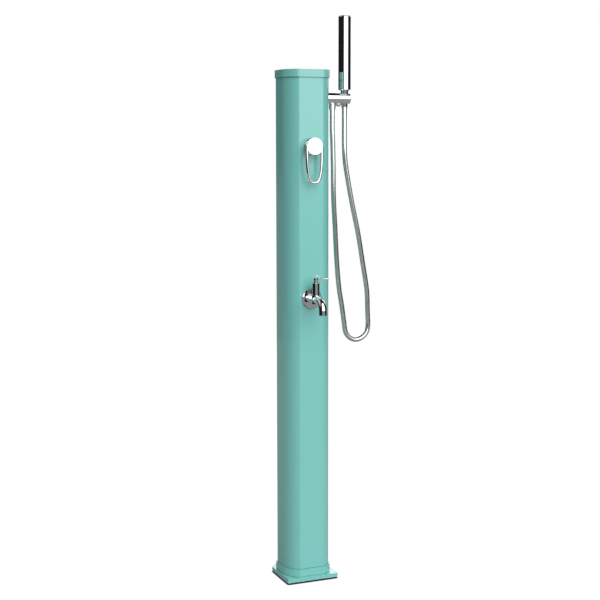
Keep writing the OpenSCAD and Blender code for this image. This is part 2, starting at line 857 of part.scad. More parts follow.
module locknut(bore) {
    translate([0, 0, -post_wall - locknut_t]) difference() {
        cylinder(r = locknut_r, h = locknut_t, $fn = 6);
        translate([0, 0, -over]) cylinder(r = bore + thread_fit, h = locknut_t + 2 * over);
    }
}

module bracket_locknut() {
    color("goldenrod") on_side() locknut(tail_r);
}

socket_face = post_wall + locknut_t + locknut_gap;

module shower_elbow() {
    color("goldenrod") difference() {
        union() {
            on_side() translate([0, 0, -elbow_out]) cylinder(r = elbow_boss_r, h = elbow_out - socket_face);
            translate([shower_to.x, shower_to.y, bracket_z - elbow_drop])
                cylinder(r = fitting_r, h = elbow_drop + fitting_r);
        }
        on_side() {
            translate([0, 0, -elbow_out]) cylinder(r = water_r, h = elbow_out);
            translate([0, 0, -tail_back]) cylinder(r = tail_r + thread_fit, h = tail_back);
        }
        translate([shower_to.x, shower_to.y, bracket_z - elbow_drop - over]) {
            cylinder(r = water_r, h = elbow_drop + over);
            cylinder(r = pipe_r + thread_fit, h = socket_depth + over);
        }
    }
}

// Hose and its fittings
module hose_nut() {
    color("silver") at_outlet() difference() {
        translate([0, 0, -hose_nut_bottom]) edged_disc(hose_nut_r, hose_nut_bottom - hose_nut_top);
        translate([0, 0, -hose_nut_bottom + nut_lip_t])
            cylinder(r = nipple_r + thread_fit, h = hose_nut_bottom);
        translate([0, 0, -hose_nut_bottom - over]) cylinder(r = nut_lip_r, h = hose_nut_bottom);
    }
}

nut_flange_z = -nipple_drop - washer_t;
module hose_nut_washer() {
    color("black") at_outlet() translate([0, 0, nut_flange_z]) ring(nipple_r, washer_bore_r, washer_t);
}

module hose_tail() {
    color("silver") at_outlet() difference() {
        union() {
            translate([0, 0, -hose_nut_bottom - ferrule_l]) edged_disc(ferrule_r, ferrule_l);
            translate([0, 0, -hose_nut_bottom - over])
                cylinder(r = ferrule_neck_r, h = hose_nut_bottom + over + nut_flange_z);
            translate([0, 0, -hose_nut_bottom + nut_lip_t])
                cylinder(r = ferrule_flange_r, h = hose_nut_bottom - nut_lip_t + nut_flange_z);
        }
        translate([0, 0, -hose_nut_bottom - ferrule_l - over])
            cylinder(r = ferrule_bore_r, h = hose_nut_bottom + ferrule_l);
    }
}

// Smooth curve through the places of the hose's route
function smooth(p, i, u) =
    let (a = p[max(i - 1, 0)], b = p[i], c = p[i + 1], d = p[min(i + 2, len(p) - 1)])
    ((2 * b) + (c - a) * u + (2 * a - 5 * b + 4 * c - d) * pow(u, 2)
        + (3 * b - a - 3 * c + d) * pow(u, 3)) / 2;
hose_fine = [for (i = [0:len(hose_route) - 2], k = [0:hose_steps - 1])
    smooth(hose_route, i, k / hose_steps), hose_route[len(hose_route) - 1]];
function run_sum(p, i = 0, s = 0, out = []) =
    i == len(p) - 1 ? concat(out, [s])
    : run_sum(p, i + 1, s + norm(p[i + 1] - p[i]), concat(out, [s]));
hose_runs = run_sum(hose_fine);
hose_length = hose_runs[len(hose_runs) - 1];
function hose_at(s) = let (q = lookup(s, [for (i = [0:len(hose_runs) - 1]) [hose_runs[i], i]]),
    i = min(floor(q), len(hose_fine) - 2)) hose_fine[i] + (hose_fine[i + 1] - hose_fine[i]) * (q - i);
hose_straight = 2 * hose_r; // plain length at each end of the hose
rib_run = (hose_length - 2 * hose_straight) / (2 * hose_ribs);

// Ribbed hose: crests and grooves take turns along the route, and the bore runs through
module hose() {
    stations = [0, for (i = [0:2 * hose_ribs]) hose_straight + i * rib_run, hose_length];
    count = len(stations);
    inner = [for (i = [0:bore_step:count - 2]) i, count - 1];
    places = [for (s = stations) hose_at(s)];
    function normal(i) = let (t = places[min(i + 1, count - 1)] - places[max(i - 1, 0)]) [t.y, -t.x] / norm(t);
    function crest(i) = i <= 1 || i >= count - 2 || i % 2 == 1 ? hose_r : hose_r - rib_depth;
    function circle_at(i, r) = [for (j = [0:hose_sides - 1]) let (a = 360 * j / hose_sides)
        [places[i].x + r * cos(a) * normal(i).x, r * sin(a), places[i].y + r * cos(a) * normal(i).y]];
    points = concat([for (i = [0:count - 1]) each circle_at(i, crest(i))],
        [for (i = inner) each circle_at(i, hose_bore_r)]);
    base = count * hose_sides;
    function wall(from, rings, flip) = [for (i = [0:rings - 2], j = [0:hose_sides - 1])
        let (k = (j + 1) % hose_sides, a = from + i * hose_sides, b = a + hose_sides)
        each flip ? [[a + j, a + k, b + k], [a + j, b + k, b + j]]
            : [[a + j, b + k, a + k], [a + j, b + j, b + k]]];
    function end(a, b, flip) = [for (j = [0:hose_sides - 1]) let (k = (j + 1) % hose_sides)
        each flip ? [[a + j, b + k, b + j], [a + j, a + k, b + k]]
            : [[a + j, b + j, b + k], [a + j, b + k, a + k]]];
    color("silver") at_outlet() polyhedron(points, concat(
        wall(0, count, false), wall(base, len(inner), true),
        end(0, base, true), end((count - 1) * hose_sides, base + (len(inner) - 1) * hose_sides, false)));
}

cone_floor = -cone_bottom + cone_lip_t;
cone_thread_z = cone_top - cone_thread_depth;

module hose_end() {
    color("silver") at_handset() difference() {
        union() {
            translate([0, 0, -cone_bottom - ferrule_l]) edged_disc(ferrule_r, ferrule_l);
            translate([0, 0, -cone_bottom - over]) cylinder(r = swivel_r, h = cone_lip_t + over + disc_gap);
            translate([0, 0, cone_floor + disc_gap]) cylinder(r = swivel_flange_r, h = swivel_flange_t);
        }
        translate([0, 0, -cone_bottom - ferrule_l - over])
            cylinder(r = swivel_bore_r, h = ferrule_l + cone_lip_t + swivel_flange_t + 2 * over);
    }
}

module hose_cone() {
    color("silver") at_handset() difference() {
        translate([0, 0, -cone_bottom + disc_gap])
            cylinder(r1 = cone_bottom_r, r2 = cone_top_r, h = cone_top + cone_bottom - disc_gap);
        translate([0, 0, -cone_bottom - over]) cylinder(r = swivel_r + thread_fit, h = cone_lip_t + 2 * over);
        translate([0, 0, cone_floor]) cylinder(r = cone_chamber_r, h = cone_top);
        translate([0, 0, cone_thread_z]) cylinder(r = handset_neck_r + thread_fit, h = cone_top);
    }
}

module handset_washer() {
    color("black") at_handset() translate([0, 0, cone_thread_z])
        ring(handset_neck_r, washer_bore_r, cone_thread_depth - handset_neck_drop);
}

// Hand shower, standing on the cone
module at_handset_foot() at_handset() translate([0, 0, cone_top]) children();
spray_z = handset_l - spray_end - spray_l;

module spray_outline(gap) {
    rounded_rect(spray_w + 2 * gap, spray_l + 2 * gap, spray_w / 2 + gap - over);
}

module on_spray_face() translate([0, 0, spray_z + spray_l / 2]) rotate([90, 0, 90]) children();

module handset_body() {
    r = handset_r;
    e = handset_edge_r;
    color("silver") at_handset_foot() difference() {
        rotate_extrude() {
            polygon([[0, 0], [r - handset_foot_r, 0], [r, handset_foot_r], [r, handset_l - e],
                [r - e, handset_l], [0, handset_l]]);
            translate([r - e, handset_l - e]) intersection() {
                circle(r = e);
                square(e);
            }
        }
        translate([0, 0, -over]) cylinder(r = r - handset_wall, h = handset_l - handset_top_t + over);
        on_spray_face() translate([0, 0, spray_face - spray_t - over])
            linear_extrude(handset_r) spray_outline(spray_gap);
    }
}

module handset_neck() {
    color("silver") at_handset_foot() difference() {
        union() {
            translate([0, 0, -handset_neck_drop]) cylinder(r = handset_neck_r, h = handset_neck_drop + over);
            cylinder(r = handset_r - handset_wall - thread_fit, h = handset_plug_l);
        }
        translate([0, 0, -handset_neck_drop - over])
            cylinder(r = washer_bore_r, h = handset_neck_drop + handset_plug_l + 2 * over);
    }
}

module handset_core() {
    color("white") at_handset_foot() difference() {
        translate([0, 0, handset_plug_l])
            cylinder(r = core_r, h = handset_l - handset_top_t - handset_plug_l - core_gap);
        translate([0, 0, handset_plug_l - over])
            cylinder(r = core_bore_r, h = handset_l - handset_top_t - handset_plug_l - handset_wall);
    }
}

module spray_plate() {
    color("dimgray") at_handset_foot() on_spray_face()
        translate([0, 0, spray_face - spray_t]) linear_extrude(spray_t) spray_outline(0);
}

module spray_nozzles() {
    color("gray") at_handset_foot() on_spray_face() translate([0, 0, spray_face])
        for (i = [0:nozzle_columns - 1], j = [0:nozzle_rows - 1])
            translate([(2 * i / (nozzle_columns - 1) - 1) * (spray_w / 2 - nozzle_side),
                (2 * j / (nozzle_rows - 1) - 1) * (spray_l / 2 - nozzle_end), 0])
                cylinder(r1 = nozzle_r, r2 = nozzle_tip_r, h = nozzle_h, $fn = 16);
}

// Tap
module tap_rosette() {
    color("silver") on_front(tap_z) difference() {
        edged_disc(tap_rosette_r, tap_rosette_t);
        translate([0, 0, -over]) cylinder(r = tap_tail_r + fit, h = tap_rosette_t + 2 * over);
    }
}

bend_out = tap_reach - spout_bend_r;
module spout_path(r) {
    translate([0, 0, tap_spindle_reach]) cylinder(r = r, h = bend_out - tap_spindle_reach);
    translate([0, -spout_bend_r, bend_out]) rotate([90, 0, 90])
        rotate_extrude(angle = 90) translate([spout_bend_r, 0]) circle(r = r);
    translate([0, -spout_bend_r, tap_reach]) rotate([90, 0, 0])
        cylinder(r = r, h = tap_outlet_drop - spout_bend_r);
}

module tap_body() {
    color("silver") difference() {
        union() {
            on_front(tap_z) {
                translate([0, 0, -tail_back]) cylinder(r = tap_tail_r, h = tail_back + tap_rosette_t + over);
                translate([0, 0, tap_rosette_t])
                    cylinder(r = tap_barrel_r, h = tap_spindle_reach - tap_rosette_t);
                spout_path(spout_r);
            }
            at_tap_spindle() translate([0, 0, -chamber_bottom])
                cylinder(r = chamber_r, h = chamber_bottom + chamber_top);
        }
        on_front(tap_z) {
            translate([0, -tail_bore_drop, -tail_back - over])
                cylinder(r = tail_bore_r, h = tail_back + over + tap_spindle_reach);
            translate([0, 0, tap_spindle_reach + cage_r - over])
                cylinder(r = spout_throat_r, h = bend_out - tap_spindle_reach - cage_r + over);
            translate([0, -spout_bend_r, bend_out]) rotate([90, 0, 90])
                rotate_extrude(angle = 90) translate([spout_bend_r, 0]) circle(r = spout_throat_r);
            translate([0, -spout_bend_r, tap_reach]) rotate([90, 0, 0])
                cylinder(r = spout_throat_r, h = tap_outlet_drop);
            translate([0, -tap_outlet_drop + aerator_l, tap_reach]) rotate([90, 0, 0])
                cylinder(r = aerator_r + thread_fit, h = aerator_l + over);
        }
        at_tap_spindle() {
            translate([0, 0, -tail_bore_drop]) cylinder(r = seat_bore_r, h = tail_bore_drop + seat_z);
            translate([0, 0, seat_z]) cylinder(r = cage_r + thread_fit, h = chamber_top);
        }
    }
}

module tap_locknut() {
    color("goldenrod") on_front(tap_z) locknut(tap_tail_r);
}

// Brass tee behind the tap, on the cold riser
module tap_manifold() {
    arm_back = riser_back + fitting_r - over;
    color("goldenrod") difference() {
        union() {
            on_front(tap_z) {
                translate([0, 0, -manifold_boss_back])
                    cylinder(r = manifold_boss_r, h = manifold_boss_back - socket_face);
                translate([-manifold_arm_h / 2, -manifold_arm_h, -riser_back])
                    cube([riser_x + manifold_arm_h / 2, 2 * manifold_arm_h, riser_back - tail_back]);
            }
            translate([riser_x, riser_y, tap_z - manifold_leg_l])
                cylinder(r = fitting_r, h = 2 * manifold_leg_l);
        }
        on_front(tap_z) {
            translate([0, 0, -tail_back]) cylinder(r = tap_tail_r + thread_fit, h = tail_back);
            translate([0, 0, -riser_back + water_r]) cylinder(r = water_r, h = riser_back - water_r);
            translate([0, 0, -riser_back + water_r]) rotate([0, 90, 0]) cylinder(r = water_r, h = riser_x);
        }
        translate([riser_x, riser_y, tap_z - manifold_leg_l - over]) {
            cylinder(r = water_r, h = 2 * (manifold_leg_l + over));
            cylinder(r = pipe_r + thread_fit, h = socket_depth + over);
        }
        translate([riser_x, riser_y, tap_z + manifold_leg_l - socket_depth])
            cylinder(r = pipe_r + thread_fit, h = socket_depth + over);
    }
}

module tap_bonnet() {
    color("silver") at_tap_spindle() difference() {
        union() {
            translate([0, 0, seat_z]) cylinder(r = cage_r, h = chamber_top - seat_z + over);
            translate([0, 0, chamber_top]) edged_disc(bonnet_r, bonnet_top - chamber_top);
            translate([0, 0, bonnet_top - over]) cylinder(r = bonnet_neck_r, h = bonnet_neck_h + over);
        }
        translate([0, 0, seat_z - over]) cylinder(r = cage_bore_r, h = cage_top - seat_z + over);
        cylinder(r = spindle_r + thread_fit, h = bonnet_top + bonnet_neck_h + over);
        translate([-window_w / 2, -cage_r - over, seat_z + tap_disc_t / 2])
            cube([window_w, cage_r, window_h]);
    }
}

module tap_fixed_disc() {
    color("white") at_tap_spindle() translate([0, 0, seat_z]) difference() {
        cylinder(r = tap_disc_r, h = tap_disc_t);
        translate([0, -tap_port_out, -over]) cylinder(r = tap_port_r, h = tap_disc_t + 2 * over);
    }
}

turning_disc_z = seat_z + tap_disc_t + disc_gap;
module tap_turning_disc() {
    color("ivory") at_tap_spindle() translate([0, 0, turning_disc_z]) difference() {
        cylinder(r = tap_disc_r, h = tap_disc_t);
        translate([tap_notch_from, -tap_notch_w / 2, -over])
            cube([tap_disc_r, tap_notch_w, tap_disc_t + 2 * over]);
    }
}

hub_z = bonnet_top + bonnet_neck_h + hub_gap;
lever_screw_z = hub_z + spindle_in_hub / 2;
module at_lever_screw() translate([0, 0, lever_screw_z]) rotate([0, -90, 0]) children();

module tap_spindle() {
    color("silver") at_tap_spindle() difference() {
        union() {
            translate([0, 0, turning_disc_z + tap_disc_t]) cylinder(r = spindle_flange_r, h = spindle_flange_t);
            translate([0, 0, turning_disc_z + tap_disc_t])
                cylinder(r = spindle_r, h = hub_z + spindle_in_hub - turning_disc_z - tap_disc_t);
        }
        at_lever_screw() translate([0, 0, spindle_r - lever_screw_in - thread_fit])
            cylinder(r = lever_screw_r + thread_fit, h = lever_screw_in + over);
    }
}

lever_rings = 12;

module tap_lever() {
    path = [[0, 0, -lever_sunk], [0, 0, 0],
        for (i = [0:lever_rings]) let (a = 90 * i / lever_rings)
            [lever_crest_r * (1 - cos(a)), 0, lever_rise - lever_crest_r * (1 - sin(a))],
        for (i = [1:lever_rings]) let (u = i / lever_rings)
            [lever_crest_r + (lever_bend_out - lever_crest_r) * u, 0,
                lever_rise - lever_drop * (1 - cos(180 * u)) / 2],
        [lever_l - lever_tip_l, 0, lever_rise - lever_drop]];
    color("silver") at_tap_spindle() difference() {
        union() {
            translate([0, 0, hub_z]) edged_disc(bonnet_neck_r, lever_hub_h);
            translate([0, 0, hub_z + lever_hub_h]) {
                sweep(path, [0, 1, 0], lever_rod_r, 12);
                translate([lever_l - lever_tip_l, 0, lever_rise - lever_drop]) rotate([0, 90, 0])
                    edged_disc(lever_tip_r, lever_tip_l, lever_rod_r / 2);
            }
        }
        translate([0, 0, hub_z - over]) cylinder(r = spindle_r + thread_fit, h = spindle_in_hub + over);
        at_lever_screw() cylinder(r = lever_screw_r + thread_fit, h = bonnet_neck_r + over);
    }
}

// Grub screw in the side of the hub
module tap_lever_screw() {
    color("silver") at_tap_spindle() at_lever_screw() difference() {
        translate([0, 0, spindle_r - lever_screw_in])
            cylinder(r = lever_screw_r, h = bonnet_neck_r - spindle_r + lever_screw_in - edge);
        translate([0, 0, bonnet_neck_r - edge - lever_screw_key_t])
            cylinder(r = lever_screw_key_r, h = lever_screw_key_t + over, $fn = 6);
    }
}

module tap_aerator() {
    color("dimgray") on_front(tap_z) translate([0, -tap_outlet_drop, tap_reach]) rotate([-90, 0, 0])
        difference() {
            cylinder(r = aerator_r, h = aerator_l);
            for (i = [-2:2], j = [-2:2]) if (norm([i, j]) * aerator_pitch < aerator_r - aerator_pitch / 2)
                translate([i * aerator_pitch, j * aerator_pitch, -over])
                    cylinder(r = aerator_hole_r, h = aerator_l + 2 * over, $fn = 16);
        }
}

base_gasket();
base_plate();
base_collar();
post_foot();
foot_screws();
post_shell();
top_cap();
cap_screws();
pipe_bracket();
cold_inlet();
hot_inlet();
inlet_nuts();
cold_riser_lower();
cold_riser_upper();
hot_riser();
shower_pipe();
mixer_body();
mixer_rosette();
mixer_dome();
cartridge_housing();
cartridge_nut();
cartridge_base();
cartridge_seal();
fixed_disc();
moving_disc();
cartridge_carrier();
stem_pin();
cartridge_stem();
mixer_cup();
handle_screw();
mixer_cap();
lever_loop();
holder_bracket();
bracket_seal();
bracket_locknut();
shower_elbow();
hose_nut();
hose_nut_washer();
hose_tail();
hose();
hose_end();
hose_cone();
handset_washer();
handset_body();
handset_neck();
handset_core();
spray_plate();
spray_nozzles();
tap_rosette();
tap_body();
tap_locknut();
tap_manifold();
tap_bonnet();
tap_fixed_disc();
tap_turning_disc();
tap_spindle();
tap_lever();
tap_lever_screw();
tap_aerator();
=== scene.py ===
import bpy
import bmesh
import json
import math
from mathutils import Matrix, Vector


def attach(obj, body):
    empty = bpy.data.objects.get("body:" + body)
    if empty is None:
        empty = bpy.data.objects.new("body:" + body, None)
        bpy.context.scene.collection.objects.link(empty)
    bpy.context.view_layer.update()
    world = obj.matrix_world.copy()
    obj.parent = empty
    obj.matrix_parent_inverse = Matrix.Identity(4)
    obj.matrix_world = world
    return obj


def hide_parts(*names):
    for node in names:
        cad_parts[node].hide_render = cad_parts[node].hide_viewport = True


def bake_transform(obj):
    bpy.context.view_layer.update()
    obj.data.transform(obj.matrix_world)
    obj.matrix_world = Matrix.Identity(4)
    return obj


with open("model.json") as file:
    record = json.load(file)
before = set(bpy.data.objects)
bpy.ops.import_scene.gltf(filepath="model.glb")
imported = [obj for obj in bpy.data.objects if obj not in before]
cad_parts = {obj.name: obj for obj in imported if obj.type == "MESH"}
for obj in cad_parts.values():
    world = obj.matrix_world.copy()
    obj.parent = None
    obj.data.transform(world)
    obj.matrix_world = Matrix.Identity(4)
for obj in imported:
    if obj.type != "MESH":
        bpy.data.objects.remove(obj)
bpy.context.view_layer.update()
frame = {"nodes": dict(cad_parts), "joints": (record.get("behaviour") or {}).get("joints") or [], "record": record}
nodes = frame["nodes"]
pivots = {joint["name"]: Vector(joint["pos_m"]) for joint in frame["joints"] if "pos_m" in joint}
mixerAxis = pivots["mixer_turn"]
tapAxis = pivots["tap_turn"]
scene = bpy.context.scene
scene.view_settings.view_transform = "Standard"
print("frame loaded:", len(nodes), "nodes")

# camera: a long lens in front and to the left, looking down a little
cameraSet = {"place": (-1.4173, -3.4347, 1.2792), "down": 6.83, "turn": 23.07, "lens": 76.44, "sensor": 36,
    "shiftX": -0.0312}


def makeCamera():
    optics = bpy.data.cameras.new("camera")
    optics.lens = cameraSet["lens"]
    optics.sensor_width = cameraSet["sensor"]
    optics.shift_x = cameraSet["shiftX"]
    camera = bpy.data.objects.new("camera", optics)
    scene.collection.objects.link(camera)
    camera.location = cameraSet["place"]
    camera.rotation_euler = (math.radians(90 - cameraSet["down"]), 0, math.radians(-cameraSet["turn"]))
    scene.camera = camera


makeCamera()


# small helpers for node trees
def addNode(tree, kind, at=(0, 0), values=None, **settings):
    node = tree.nodes.new(kind)
    node.location = at
    for key, value in settings.items():
        setattr(node, key, value)
    for label, value in (values or {}).items():
        node.inputs[label].default_value = value
    return node


def newTree(name, kind, inputs, outputs):
    tree = bpy.data.node_groups.new(name, kind)
    for direction, sockets in (("INPUT", inputs), ("OUTPUT", outputs)):
        for label, socketKind in sockets.items():
            tree.interface.new_socket(label, in_out=direction, socket_type="NodeSocket" + socketKind)
    return tree, addNode(tree, "NodeGroupInput", (-1000, 0)), addNode(tree, "NodeGroupOutput", (1200, 0))


# links an output to the socket, or sets a plain value on it
def feed(tree, value, socket):
    if hasattr(value, "is_output"):
        tree.links.new(value, socket)
    else:
        socket.default_value = value


def mathNode(tree, operation, a, b=None, at=(0, 0)):
    node = addNode(tree, "ShaderNodeMath", at, operation=operation)
    feed(tree, a, node.inputs[0])
    if b is not None:
        feed(tree, b, node.inputs[1])
    return node.outputs[0]


def mixColor(tree, factor, a, b, at=(0, 0)):
    node = addNode(tree, "ShaderNodeMix", at, data_type="RGBA")
    for value, socket in zip((factor, a, b), (node.inputs[0], node.inputs[6], node.inputs[7])):
        feed(tree, value, socket)
    return node.outputs[2]


def opaque(color):
    return (*color, 1)


# fine pebble of a sprayed coat or a moulded skin, and a cloud for slow changes of tone and gloss
grainSet = {"rippleShare": 0.3, "fineShare": 0.4}


def buildCoatGrain():
    group, start, end = newTree("coatGrain", "ShaderNodeTree",
        {"Grain Scale": "Float", "Cloud Scale": "Float"}, {"Height": "Float", "Cloud": "Float"})
    link = group.links.new
    where = addNode(group, "ShaderNodeTexCoord", (-900, 300))
    grain = addNode(group, "ShaderNodeTexNoise", (-500, 200), {"Detail": 2})
    ripple = addNode(group, "ShaderNodeTexNoise", (-500, -50), {"Detail": 1})
    cloud = addNode(group, "ShaderNodeTexNoise", (-500, -300), {"Detail": 4})
    for noise in (grain, ripple, cloud):
        link(where.outputs["Object"], noise.inputs["Vector"])
    wide = mathNode(group, "MULTIPLY", start.outputs["Grain Scale"], grainSet["rippleShare"], (-700, -50))
    link(start.outputs["Grain Scale"], grain.inputs["Scale"])
    link(wide, ripple.inputs["Scale"])
    link(start.outputs["Cloud Scale"], cloud.inputs["Scale"])
    fine = mathNode(group, "MULTIPLY", grain.outputs["Fac"], grainSet["fineShare"], (-250, 200))
    link(mathNode(group, "ADD", fine, ripple.outputs["Fac"], (0, 100)), end.inputs["Height"])
    link(cloud.outputs["Fac"], end.inputs["Cloud"])
    return group


# faint wipe marks and the slight waviness of polished metal
def buildPolish():
    group, start, end = newTree("polish", "ShaderNodeTree",
        {"Scale": "Float", "Base": "Float", "Spread": "Float"}, {"Roughness": "Float", "Height": "Float"})
    link = group.links.new
    where = addNode(group, "ShaderNodeTexCoord", (-900, 300))
    wipe = addNode(group, "ShaderNodeTexNoise", (-500, 200), {"Detail": 5, "Distortion": 0.6})
    wave = addNode(group, "ShaderNodeTexNoise", (-500, -100), {"Scale": 45, "Detail": 0})
    link(where.outputs["Object"], wipe.inputs["Vector"])
    link(where.outputs["Object"], wave.inputs["Vector"])
    link(start.outputs["Scale"], wipe.inputs["Scale"])
    spread = mathNode(group, "MULTIPLY", wipe.outputs["Fac"], start.outputs["Spread"], (-200, 200))
    link(mathNode(group, "ADD", spread, start.outputs["Base"], (50, 200)), end.inputs["Roughness"])
    link(wave.outputs["Fac"], end.inputs["Height"])
    return group


# streaks of brushing or turning, long in one direction, and a slow stain
def buildStreaks():
    group, start, end = newTree("streaks", "ShaderNodeTree",
        {"Stretch": "Vector", "Amount": "Float"}, {"Mask": "Float", "Tone": "Float"})
    link = group.links.new
    where = addNode(group, "ShaderNodeTexCoord", (-900, 300))
    scaled = addNode(group, "ShaderNodeVectorMath", (-650, 200), operation="MULTIPLY")
    link(where.outputs["Object"], scaled.inputs[0])
    link(start.outputs["Stretch"], scaled.inputs[1])
    streak = addNode(group, "ShaderNodeTexNoise", (-400, 200), {"Scale": 1, "Detail": 3})
    link(scaled.outputs[0], streak.inputs["Vector"])
    stain = addNode(group, "ShaderNodeTexNoise", (-400, -100), {"Scale": 28, "Detail": 5})
    link(where.outputs["Object"], stain.inputs["Vector"])
    mask = mathNode(group, "MULTIPLY", streak.outputs["Fac"], start.outputs["Amount"], (0, 200))
    link(mask, end.inputs["Mask"])
    link(stain.outputs["Fac"], end.inputs["Tone"])
    return group


coatGrain = buildCoatGrain()
polish = buildPolish()
streaks = buildStreaks()


# a finish gives its least and greatest roughness, and where it has a bump, the bump's strength and depth
def startMaterial(look, metal):
    material = bpy.data.materials.new(look["name"])
    material.use_nodes = True
    tree = material.node_tree
    shader = tree.nodes["Principled BSDF"]
    shader.inputs["Base Color"].default_value = opaque(look["color"])
    shader.inputs["Metallic"].default_value = metal
    shader.inputs["Roughness"].default_value = look["rough"][0]
    return material, tree, shader


def addBump(tree, shader, height, bump):
    node = addNode(tree, "ShaderNodeBump", (-250, -400), {"Strength": bump[0], "Distance": bump[1]})
    tree.links.new(height, node.inputs["Height"])
    tree.links.new(node.outputs["Normal"], shader.inputs["Normal"])


# skin of paint, rubber, plastic or ceramic. What it is for decides where its tone goes
def makeSkin(look):
    material, tree, shader = startMaterial(look, 0.0)
    grain = addNode(tree, "ShaderNodeGroup", (-700, 0),
        {"Grain Scale": look["grain"], "Cloud Scale": look["cloud"]}, node_tree=coatGrain)
    cloud = grain.outputs["Cloud"]
    tone = mixColor(tree, cloud, opaque(look["color"]), opaque(look["shade"]), (-350, 200))
    low, high = look["rough"]
    rise = mathNode(tree, "MULTIPLY", cloud, high - low, (-450, -100))
    rough = mathNode(tree, "ADD", rise, low, (-250, -100))
    tree.links.new(rough, shader.inputs["Roughness"])
    addBump(tree, shader, grain.outputs["Height"], look["bump"])
    return material, tree, shader, tone


# turquoise coat of the post, cap, collar and base plate, with painted shade in its inner corners
paintSet = {"name": "turquoisePaint", "color": (0.204, 0.580, 0.535), "shade": (0.190, 0.558, 0.512),
    "rough": (0.26, 0.38), "grain": 1100.0, "cloud": 6.0, "bump": (0.12, 0.0004), "coat": 1.0,
    "coatRough": 0.045, "paintedShade": (0.012, 0.03, 0.028), "corner": 0.004, "fullShadeAt": 0.45, "unshaded": 0.85,
    "deepestShade": 0.3}


def makePaint():
    material, tree, shader, tone = makeSkin(paintSet)
    # painted shade: ambient occlusion darkens the coat's colour along inner corners and under overhangs, where
    # shade falls
    corner = addNode(tree, "ShaderNodeAmbientOcclusion", (-900, 500), {"Distance": paintSet["corner"]},
        samples=8)
    unshaded = addNode(tree, "ShaderNodeMapRange", (-650, 500),
        {"From Min": paintSet["fullShadeAt"], "From Max": paintSet["unshaded"], "To Min": paintSet["deepestShade"]})
    tree.links.new(corner.outputs["AO"], unshaded.inputs["Value"])
    color = mixColor(tree, unshaded.outputs[0], opaque(paintSet["paintedShade"]), tone, (-150, 350))
    tree.links.new(color, shader.inputs["Base Color"])
    shader.inputs["Coat Weight"].default_value = paintSet["coat"]
    shader.inputs["Coat Roughness"].default_value = paintSet["coatRough"]
    return material


# rubber, plastic and ceramic, by slot
mouldedSet = {
    "rubber": {"name": "rubber", "color": (0.010, 0.010, 0.011), "shade": (0.018, 0.018, 0.018),
        "rough": (0.68, 0.83), "grain": 500, "cloud": 30, "bump": (0.3, 0.0005), "shine": 0.15},
    "plastic": {"name": "whitePlastic", "color": (0.80, 0.80, 0.78), "shade": (0.74, 0.74, 0.72),
        "rough": (0.38, 0.53), "grain": 700, "cloud": 30, "bump": (0.15, 0.0005), "shine": 0.5},
    "ceramic": {"name": "ceramic", "color": (0.86, 0.85, 0.82), "shade": (0.80, 0.79, 0.76),
        "rough": (0.15, 0.30), "grain": 1500, "cloud": 30, "bump": (0.05, 0.0005), "shine": 0.5},
    "spray": {"name": "sprayPlastic", "color": (0.06, 0.065, 0.07), "shade": (0.09, 0.095, 0.10),
        "rough": (0.35, 0.50), "grain": 900, "cloud": 30, "bump": (0.2, 0.0005), "shine": 0.5}}


def makeMoulded(look):
    material, tree, shader, tone = makeSkin(look)
    tree.links.new(tone, shader.inputs["Base Color"])
    shader.inputs["Specular IOR Level"].default_value = look["shine"]
    return material


# polished metals, by slot
polishedSet = {
    "chrome": {"name": "chrome", "color": (0.90, 0.91, 0.92), "rough": (0.015, 0.045), "marks": 14.0,
        "bump": (0.015, 0.0006)},
    "hose": {"name": "hoseMetal", "color": (0.82, 0.83, 0.84), "rough": (0.02, 0.05), "marks": 14.0,
        "bump": (0.015, 0.0006)}}


def makePolished(look):
    material, tree, shader = startMaterial(look, 1.0)
    low, high = look["rough"]
    marks = addNode(tree, "ShaderNodeGroup", (-600, 0),
        {"Scale": look["marks"], "Base": low, "Spread": high - low}, node_tree=polish)
    tree.links.new(marks.outputs["Roughness"], shader.inputs["Roughness"])
    addBump(tree, shader, marks.outputs["Height"], look["bump"])
    return material


# turned, drawn and brushed metals, by slot
wroughtSet = {
    "brass": {"name": "brass", "color": (0.75, 0.58, 0.28), "stain": (0.58, 0.42, 0.20),
        "stretch": (900, 900, 40), "rough": (0.23, 0.41), "bump": (0.25, 0.0003)},
    "copper": {"name": "copper", "color": (0.80, 0.46, 0.30), "stain": (0.60, 0.30, 0.18),
        "stretch": (500, 500, 10), "rough": (0.21, 0.39), "bump": (0.25, 0.0003)},
    "steel": {"name": "steel", "color": (0.60, 0.60, 0.61), "stain": (0.48, 0.48, 0.49),
        "stretch": (700, 700, 15), "rough": (0.25, 0.43), "bump": (0.25, 0.0003)}}


def makeWrought(look):
    material, tree, shader = startMaterial(look, 1.0)
    low, high = look["rough"]
    lines = addNode(tree, "ShaderNodeGroup", (-700, 0), {"Stretch": look["stretch"], "Amount": high - low},
        node_tree=streaks)
    tone = mixColor(tree, lines.outputs["Tone"], opaque(look["color"]), opaque(look["stain"]), (-350, 200))
    tree.links.new(tone, shader.inputs["Base Color"])
    rough = mathNode(tree, "ADD", lines.outputs["Mask"], low, (-250, -100))
    tree.links.new(rough, shader.inputs["Roughness"])
    addBump(tree, shader, lines.outputs["Mask"], look["bump"])
    return material


materials = {"paint": makePaint()}
for looks, make in ((mouldedSet, makeMoulded), (polishedSet, makePolished), (wroughtSet, makeWrought)):
    for slot, look in looks.items():
        materials[slot] = make(look)
for part in frame["record"]["subparts"]:
    solid = nodes[part["node"]].data
    solid.materials.clear()
    solid.materials.append(materials[part["material_slot"]])
print("materials ready:", len(materials))


# a mesh as a smooth object with its sharp edges kept, the angle in degrees
def showMesh(name, mesh, material, sharp):
    mesh.materials.clear()
    mesh.materials.append(material)
    piece = bpy.data.objects.new(name, mesh)
    scene.collection.objects.link(piece)
    mesh.shade_smooth()
    mesh.set_sharp_from_angle(angle=math.radians(sharp))
    return piece


